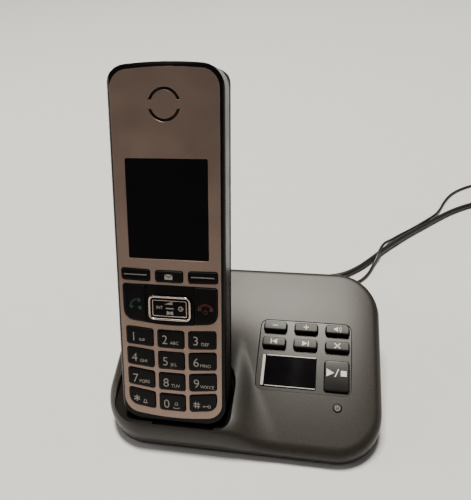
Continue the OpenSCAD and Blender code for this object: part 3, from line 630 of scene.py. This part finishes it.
def add_base_housing():
    """The housing, cut in the order that leaves each opening with its own material on its faces; the darker
    materials in the pocket, deep and rim cuts are painted shade, the pocket's and deep cut's standing in
    part for a black cradle insert.
    """
    housing = piece_from("base_housing", *housing_solid())
    housing.data.materials.append(MATERIALS["shell_plastic"])
    x, y = PAGING_AT
    paging = round_box(x - PAGING_R, x + PAGING_R, y - PAGING_R, y + PAGING_R, PAGING_R)
    openings = [
        ("panel_cut", prism(PANEL_CUT, PANEL_FLARE), ON_SLOPE, "shell_plastic"),
        # Painted shade: the pocket's and deep cut's dark plastic darkens the recess, partly a black cradle
        # insert; the rim cut's darker satin darkens the ledge.
        ("pocket_cut", pocket_solid(), DOCKED, "dark_plastic"),
        ("rim_cut", prism(RIM_CUT, RIM_FLARE), ON_LAND, "handset_satin"),
        ("deep_cut", prism(DEEP_CUT, DEEP_LEVELS), ON_LAND, "dark_plastic"),
        ("paging_cut", prism(paging, PAGING_LEVELS), ON_SLOPE, "shell_plastic"),
    ]
    for x, z, half_w, half_h in SOCKETS:
        socket = round_box(x - half_w, x + half_w, z - half_h, z + half_h, SOCKET_R)
        openings.append(("socket_cut", prism(socket, SOCKET_LEVELS), ON_BACK, "shell_plastic"))
    cutters = []
    for name, solid, place, lining_and_painted_shade in openings:
        cutters.append(piece_from(name, *solid, frame_matrix=place))
        cutters[-1].data.materials.append(MATERIALS[lining_and_painted_shade])
    cut(housing, cutters)
    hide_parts("base_top_shell")
    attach(housing, "base")
    smooth_by_angle(housing, 32)


add_base_housing()


# ---------- legends: flat shapes in millimetres, u to the right and v up ----------

ON_FACE = DOCKED @ Matrix(((1, 0, 0, 0), (0, 0, -1, 0), (0, 1, 0, 0), (0, 0, 0, 1)))
INK_T, INK_GAP = 0.03, 0.01
CAP_OF_FONT = 0.73    # a capital's height in Blender's own font at size 1


def plates(outlines, thick=INK_T):
    """Thin solids standing on outlines."""
    points, faces = [], []
    for outline in outlines:
        first, n = len(points), len(outline)
        points += [(u, v, 0) for u, v in outline] + [(u, v, thick) for u, v in outline]
        faces.append(tuple(first + n + i for i in range(n)))
        faces.append(tuple(first + n - 1 - i for i in range(n)))
        for i in range(n):
            j = (i + 1) % n
            faces.append((first + i, first + j, first + n + j, first + n + i))
    return points, faces


def placed(marks, u, v, size=1.0, turn=0.0):
    """Marks scaled, turned by degrees and moved."""
    points, faces = marks
    c, s = math.cos(math.radians(turn)), math.sin(math.radians(turn))
    return [(u + size * (x * c - y * s), v + size * (x * s + y * c), z) for x, y, z in points], faces


def joined(*parts):
    """Several lots of points and faces as one."""
    points, faces = [], []
    for more, more_faces in parts:
        first = len(points)
        points += more
        faces += [tuple(first + i for i in face) for face in more_faces]
    return points, faces


def word(text, cap, u, v, bold=0.0, anchor="CENTER"):
    """Letters with capitals cap high, standing on the line v."""
    curve = bpy.data.curves.new("word", "FONT")
    curve.body = text
    curve.align_x = anchor
    curve.extrude = 0.01
    curve.offset = bold
    curve.resolution_u = 4
    holder = bpy.data.objects.new("word", curve)
    bpy.context.scene.collection.objects.link(holder)
    bpy.context.view_layer.update()
    mesh = bpy.data.meshes.new_from_object(holder.evaluated_get(bpy.context.evaluated_depsgraph_get()))
    scale = cap / CAP_OF_FONT
    points = [(u + q.co.x * scale, v + q.co.y * scale, INK_T if q.co.z > 0 else 0.0) for q in mesh.vertices]
    faces = [tuple(face.vertices) for face in mesh.polygons]
    bpy.data.objects.remove(holder)
    bpy.data.meshes.remove(mesh)
    bpy.data.curves.remove(curve)
    return points, faces


def stroke(path, wide, closed=False):
    """Quads along a path, each a little longer than its step so that they overlap at the bends."""
    out = []
    for k in range(len(path) - (0 if closed else 1)):
        a, b = Vector(path[k]), Vector(path[(k + 1) % len(path)])
        along = (b - a).normalized()
        side = Vector((-along.y, along.x)) * wide / 2
        a, b = a - along * wide * 0.2, b + along * wide * 0.2
        out.append([tuple(a - side), tuple(b - side), tuple(b + side), tuple(a + side)])
    return out


def arc(u, v, radius, start, end, steps=14):
    turns = [math.radians(start + (end - start) * i / steps) for i in range(steps + 1)]
    return [(u + radius * math.cos(a), v + radius * math.sin(a)) for a in turns]


def disc(u, v, radius, steps):
    return arc(u, v, radius, 0, 360, steps)[:-1]


def receiver(wide, end_wide, end_long, drop):
    """A telephone receiver's outline, ends down, about 5 across."""
    parts = stroke(arc(0, -1.4, 3.1, 35, 145), wide)
    for side in (-1, 1):
        u, v = side * 2.45, 0.25 - drop
        outer, inner = u + side * 0.6, u - side * end_wide / 2
        bottom, top = v - end_long / 2, v + end_long / 2
        parts.append([(outer, bottom), (outer, top + 0.35), (inner, top + 0.2), (inner, bottom)][::-side])
    return parts


def add_legend(name, body, marks, place, height, ink="legend_ink"):
    """Ink on a body's face, just above the height where the face is."""
    points, faces = marks
    lifted = [(x, y, z + height + INK_GAP) for x, y, z in points]
    piece = piece_from(name + "_legend", lifted, faces, frame_matrix=place)
    piece.data.materials.append(INKS[ink])
    piece.data.shade_flat()
    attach(piece, body)


INKS = shaders({
    "legend_ink": ((0.36, 0.33, 0.30), 0.5, dict(spread=0.05)),
    "talk_ink": ((0.006, 0.06, 0.047), 0.5, dict(spread=0.05)),
    "end_ink": ((0.07, 0.009, 0.009), 0.5, dict(spread=0.05)),
    "white_ink": ((0.78, 0.74, 0.68), 0.5, dict(spread=0.04)),
    "small_ink": ((0.25, 0.235, 0.225), 0.5, dict(spread=0.05)),
    # A painted highlight, for the strips along the base window's edges.
    "painted_window_highlight": ((0.62, 0.58, 0.52), 0.3, dict(spread=0.05)),
})


# ---------- legends on the handset's keys ----------

KEY_FACE = 0.5    # height of a key's face in the handset's frame
COLUMN_LEFT = (-19.9, -5.8, 8.0)
ROW_PITCH, DIGIT_TOP, DIGIT_H = 10.05, 44.9, 7.8
ROW_RISE = (1.75, 1.7, 1.6, 1.35)
ROW_BOW, BOW_MIDDLE = (0.0027, 0.0036, 0.0045, 0.0054), -5    # legends rise to both sides of the middle
DIGIT_IN, DIGIT_CAP, DIGIT_BOLD = 3.15, 4.25, -0.012
LETTERS = {
    "2": "ABC", "3": "DEF", "4": "GHI", "5": "JKL", "6": "MNO", "7": "PQRS", "8": "TUV", "9": "WXYZ",
}
LETTERS_IN, LETTERS_CAP = 5.5, 1.5
WIDE_LETTERS, WIDE_LETTERS_IN = "679", 4.9    # the keys whose letters are wide, and start further left
STAR_SPOKE, HASH_REACH = 1.45, 1.55
SOFT_KEY_AT, SOFT_BAR_HALF = 14.65, 5.0


def key_legend(name, marks, ink="legend_ink"):
    """Ink on a handset key, which is its own body."""
    add_legend(name, name, marks, ON_FACE, KEY_FACE, ink)


def mailbox():
    return (stroke(disc(-0.75, 0, 0.45, 12), 0.2, True) + stroke(disc(0.75, 0, 0.45, 12), 0.2, True)
            + [box(-0.75, 0.75, -0.55, -0.37)])


def bell():
    outline = [(-1, -0.75), (-0.55, -0.2), (-0.5, 0.5), (0, 0.95), (0.5, 0.5), (0.55, -0.2), (1, -0.75)]
    return stroke(outline, 0.22, True) + [box(-0.25, 0.25, -1.15, -0.85)]


def little_phone():
    return (stroke(disc(0, 0.75, 0.62, 14), 0.24, True)
            + stroke([(-0.6, 0.0), (-0.6, 1.0)], 0.24) + stroke([(0.6, 0.0), (0.6, 1.0)], 0.24)
            + stroke([(-1.2, -0.9), (-1.25, -1.45), (1.25, -1.45), (1.2, -0.9)], 0.26))


def little_key():
    return (stroke(disc(1.15, 0, 0.62, 14), 0.24, True) + [box(-1.7, 0.5, -0.13, 0.13)]
            + [box(-1.55, -1.25, -0.6, 0), box(-0.95, -0.7, -0.45, 0)])


def star(u, v):
    spokes = []
    for turn in range(0, 360, 60):
        a = math.radians(turn)
        spokes += stroke([(0, 0.15), (STAR_SPOKE * math.sin(a), 0.15 + STAR_SPOKE * math.cos(a))], 0.42)
    return [placed(plates(spokes), u + 0.3, v + 2.1)]


def hash_sign(u, v):
    upright = [box(-0.8, -0.46, -HASH_REACH, HASH_REACH), box(0.46, 0.8, -HASH_REACH, HASH_REACH)]
    level = [box(-1.5, 1.5, 0.4, 0.74), box(-1.5, 1.5, -0.74, -0.4)]
    return [placed(plates(upright), u, v + 1.8), placed(plates(level, INK_T * 1.3), u, v + 1.8)]


def digit(sign, u, v):
    return [word(sign, DIGIT_CAP, u, v, DIGIT_BOLD)]


# Small marks beside a sign: the mark, how far in from the key's left, how high.
SMALL_MARKS = {
    "1": (mailbox(), 6.9, 0.75), "*": (bell(), 7.3, 1.0),
    "0": (little_phone(), 7.6, 1.55), "#": (little_key(), 7.6, 1.55),
}
for index, sign in enumerate("123456789*0#"):
    row, column = divmod(index, 3)
    left = COLUMN_LEFT[column]
    u = left + DIGIT_IN
    v = DIGIT_TOP - row * ROW_PITCH - DIGIT_H + ROW_RISE[row] + ROW_BOW[row] * (left - BOW_MIDDLE) ** 2
    if sign == "*":
        parts = star(u, v)
    elif sign == "#":
        parts = hash_sign(u, v)
    else:
        parts = digit(sign, u, v)
    if sign in LETTERS:
        start = left + (WIDE_LETTERS_IN if sign in WIDE_LETTERS else LETTERS_IN)
        parts.append(word(LETTERS[sign], LETTERS_CAP, start, v, anchor="LEFT"))
    else:
        mark, across, rise = SMALL_MARKS[sign]
        parts.append(placed(plates(mark), left + across, v + rise))
    key_legend("key_" + {"*": "star", "#": "hash"}.get(sign, sign), joined(*parts))

for name, middle in (("soft_key_left", -SOFT_KEY_AT), ("soft_key_right", SOFT_KEY_AT)):
    bar = box(middle - SOFT_BAR_HALF, middle + SOFT_BAR_HALF, 69.45, 69.85)
    key_legend(name, plates([bar]), "small_ink")
envelope = [
    [(-1.7, -1.15), (1.7, -1.15), (1.7, 0.8), (0.1, -0.35), (-0.1, -0.35), (-1.7, 0.8)],
    [(-1.5, 1.1), (0, 0.05), (1.5, 1.1)],
]
key_legend("message_key", placed(plates(envelope), -0.1, 69.2))
talk_mark = [[(0.5, -1.9), (1.2, -1.9), (2.2, -2.7), (2.2, 0.1), (1.2, -0.7), (0.5, -0.7)]]
key_legend("talk_key", joined(
    placed(plates(receiver(0.95, 1.5, 1.3, 0.1)), -15.2, 56.6, 0.95, 40),
    placed(plates(talk_mark), -14.4, 55.9, 0.8),
), "talk_ink")
end_mark = receiver(0.95, 1.6, 1.0, 0.5)
end_mark += stroke(disc(0, -1.3, 0.75, 18), 0.28, True) + stroke([(0, -1.1), (0, -0.2)], 0.3)
key_legend("end_key", placed(plates(end_mark), 15.6, 55.9, 1.08), "end_ink")


# ---------- navigation key ----------

NAV_V = 55.3    # the middle of the navigation key
NAV_AROUND = round_box(-9.3, 9.3, 49.9, 60.7, 2.4)
RING_OUTER = [
    (-0.25, 0), (0.75, 0), (1.02, -0.08), (1.15, -0.25),
    (1.15, -0.5), (1.0, -0.72), (0.7, -0.88), (-0.25, -0.88),
]
RING_INNER = [(0.3, -1.72), (0.74, -1.74), (0.82, -1.82), (0.82, -1.96), (0.74, -2.06), (0.3, -2.08)]
NAV_PLATE, NAV_PLATE_TOP = round_box(-8.4, 8.4, 50.8, 59.8, 1.5), 0.62
nav_marks = [
    [(-2.4, 1.75), (1.4, 1.75), (1.4, 3.2)],
    box(-1.6, 1.8, -0.25, 0.25),
    [(-1.3, -1.2), (-1.3, -2.9), (0.0, -2.6), (0.0, -1.5)][::-1],
    [(0.25, -1.5), (0.25, -2.6), (1.55, -2.9), (1.55, -1.2)],
]
nav_marks += stroke(arc(4.9, 0.1, 0.9, 40, 320), 0.5) + [box(4.9, 6.2, -0.15, 0.35)]
nav_marks = [[(u, v + NAV_V) for u, v in mark] for mark in nav_marks]
nav_legend = joined(plates(nav_marks), word("INT", 1.35, -4.4, 54.95, 0.01))


def add_nav_key():
    """The bright ring, with a fine bright line inside it, and the plate that it goes round."""
    profiles = [tube(stacked(NAV_AROUND, profile)) for profile in (RING_OUTER, RING_INNER)]
    ring = piece_from("nav_ring_shape", *joined(*profiles), "nav_chrome", "nav_key", ON_FACE)
    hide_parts("nav_ring")
    smooth_by_angle(ring, 50)
    levels = [(-0.15, 0), (0.55, 0), (NAV_PLATE_TOP, -0.15)]
    plate = piece_from("nav_plate_shape", *prism(NAV_PLATE, levels), "frame_gloss", "nav_key", ON_FACE)
    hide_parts("nav_plate")
    smooth_by_angle(plate, 30)


add_nav_key()
add_legend("nav_plate", "nav_key", nav_legend, ON_FACE, NAV_PLATE_TOP)


# ---------- panel keys, the legends on the base, and the painted highlight on its window's edges ---

KEY_TOP, KEY_W, KEY_H, KEY_R = 2.6, 11.2, 4.5, 1.1
KEY_LEVELS = [(-2.4, 0), (0, 0), (2.2, 0), (2.38, -0.06), (2.52, -0.2), (2.59, -0.4), (KEY_TOP, -0.65)]
KEY_RINGS = 15    # steps from the top's edge to its middle
FALL_FROM, FALL_BEND = 1.5, 2.2    # only points above this height fall, on this power of the way
SMALL_KEY_FALL, PLAY_KEY_FALL = 0.1, 1.3
COLUMNS, ROWS = (13.4, 28.5, 43.6), (57.2, 48.7)
PLAY_AT, PLAY_H, PLAY_LEGEND_V = (43.6, 34.2), 14.0, 35.2
PAGING_TOP, WINDOW_TOP = 0.1, 0.4

speaker_mark = [[(-1.7, -0.5), (-0.9, -0.5), (0.1, -1.35), (0.1, 1.35), (-0.9, 0.5), (-1.7, 0.5)]]
for radius in (1.25, 2.0):
    speaker_mark += stroke(arc(-0.3, 0, radius, -45, 45, 8), 0.28)
cross = stroke([(-1.25, -1.2), (1.25, 1.2)], 0.5) + stroke([(-1.25, 1.2), (1.25, -1.2)], 0.5)
panel_marks = {    # column, row, legend
    "volume_down_key": (0, 0, [box(-1.3, 1.3, -0.22, 0.22)]),
    "volume_up_key": (1, 0, [box(-1.3, 1.3, -0.22, 0.22), box(-0.22, 0.22, -1.25, 1.25)]),
    "loudspeaker_key": (2, 0, speaker_mark),
    "previous_key": (0, 1, [box(-1.6, -1.15, -1.25, 1.25), [(-0.95, 0), (1.5, -1.25), (1.5, 1.25)]]),
    "next_key": (1, 1, [box(1.15, 1.6, -1.25, 1.25), [(0.95, 0), (-1.5, 1.25), (-1.5, -1.25)]]),
    "delete_key": (2, 1, cross),
}
play_mark = [
    [(-4.7, -1.9), (-1.2, 0), (-4.7, 1.9)], [(-1.05, -1.9), (-0.55, -1.9), (0.95, 1.9), (0.45, 1.9)],
    box(1.75, 4.4, -1.4, 1.25),
]
paging_mark = stroke(arc(0, 0, 1.0, 125, 415, 18), 0.26) + [box(-0.13, 0.13, 0.2, 1.25)]
# A painted highlight: bright strips along the window's left, top and bottom edges, where light catches its
# rim.
window_highlight = [box(8.6, 9.9, 27.5, 42.5), box(10.5, 33.9, 42.25, 42.6), box(10.5, 33.9, 27.35, 27.65)]


def add_panel_key(name, u, v, high, fall, marks, marks_v):
    """A key with soft edges, and its legend; the key's top drops by fall towards the front."""
    front, back = v - high / 2, v + high / 2
    rings = stacked(round_box(u - KEY_W / 2, u + KEY_W / 2, front, back, KEY_R), KEY_LEVELS, 5, 14)
    edge = rings[-1]
    for k in range(1, KEY_RINGS):
        share = 1 - k / KEY_RINGS
        rings.append([Vector((u + (q.x - u) * share, v + (q.y - v) * share, q.z)) for q in edge])
    points, faces = loft(rings)
    for q in points:
        if q.z > FALL_FROM:
            q.z -= fall * max(0.0, (back - q.y) / high) ** FALL_BEND
    key = piece_from(name + "_shape", points, faces, "panel_key_plastic", name, ON_SLOPE)
    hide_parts(name)
    smooth_by_angle(key, 40)
    add_legend(name, name, placed(plates(marks), u, marks_v), ON_SLOPE, KEY_TOP, "white_ink")


for name, (column, row, marks) in panel_marks.items():
    add_panel_key(name, COLUMNS[column], ROWS[row], KEY_H, SMALL_KEY_FALL, marks, ROWS[row])
add_panel_key("play_stop_key", *PLAY_AT, PLAY_H, PLAY_KEY_FALL, play_mark, PLAY_LEGEND_V)
paging = placed(plates(paging_mark), *PAGING_AT)
add_legend("paging_key", "paging_key", paging, ON_SLOPE, PAGING_TOP, "small_ink")
# The window's painted highlight, laid on the slope like a legend.
add_legend("window_highlight", "base", plates(window_highlight), ON_SLOPE, WINDOW_TOP, "painted_window_highlight")


# ---------- floor and light ----------

FLOOR_HALF = 3.0    # metres


def add_floor():
    mesh = bpy.data.meshes.new("floor")
    corners = box(-FLOOR_HALF, FLOOR_HALF, -FLOOR_HALF, FLOOR_HALF)
    mesh.from_pydata([(x, y, 0) for x, y in corners], [], [(0, 1, 2, 3)])
    floor = bpy.data.objects.new("floor", mesh)
    bpy.context.scene.collection.objects.link(floor)
    mesh.materials.append(shader("floor_paper", (0.86, 0.86, 0.87), 0.8, specular=0.2, spread=0.01))


def add_lamp(name, kind, energy, colour, towards):
    """A lamp whose light comes from the direction towards."""
    data = bpy.data.lights.new(name, kind)
    data.energy = energy
    data.color = colour
    lamp = bpy.data.objects.new(name, data)
    bpy.context.scene.collection.objects.link(lamp)
    lamp.rotation_euler = (-Vector(towards)).to_track_quat("-Z", "Y").to_euler()
    return lamp


add_floor()
sun = add_lamp("key_sun", "SUN", 3.1, (1.0, 0.95, 0.85), (-0.02, 0.24, 0.97))
sun.data.angle = math.radians(13)
for name, place, target, size, energy, colour in (
    ("top_light", (-0.17, 0.33, 1.18), (0, 0.01, 0.03), 0.15, 7.0, (1.0, 0.95, 0.84)),
    ("right_light", (1.3, 0.25, 0.35), (0, 0, 0.05), 0.5, 1.4, (1.0, 0.95, 0.88)),
    ("fill_light", (-1.2, -0.1, 0.5), (0, 0, 0.08), 0.6, 4.2, (1.0, 0.93, 0.86)),
):
    lamp = add_lamp(name, "AREA", energy, colour, Vector(place) - Vector(target))
    lamp.data.size = size
    lamp.location = place
world = bpy.data.worlds.new("world")
bpy.context.scene.world = world
world.use_nodes = True
background = world.node_tree.nodes["Background"]
background.inputs["Color"].default_value = (1.0, 0.95, 0.9, 1)
background.inputs["Strength"].default_value = 0.095
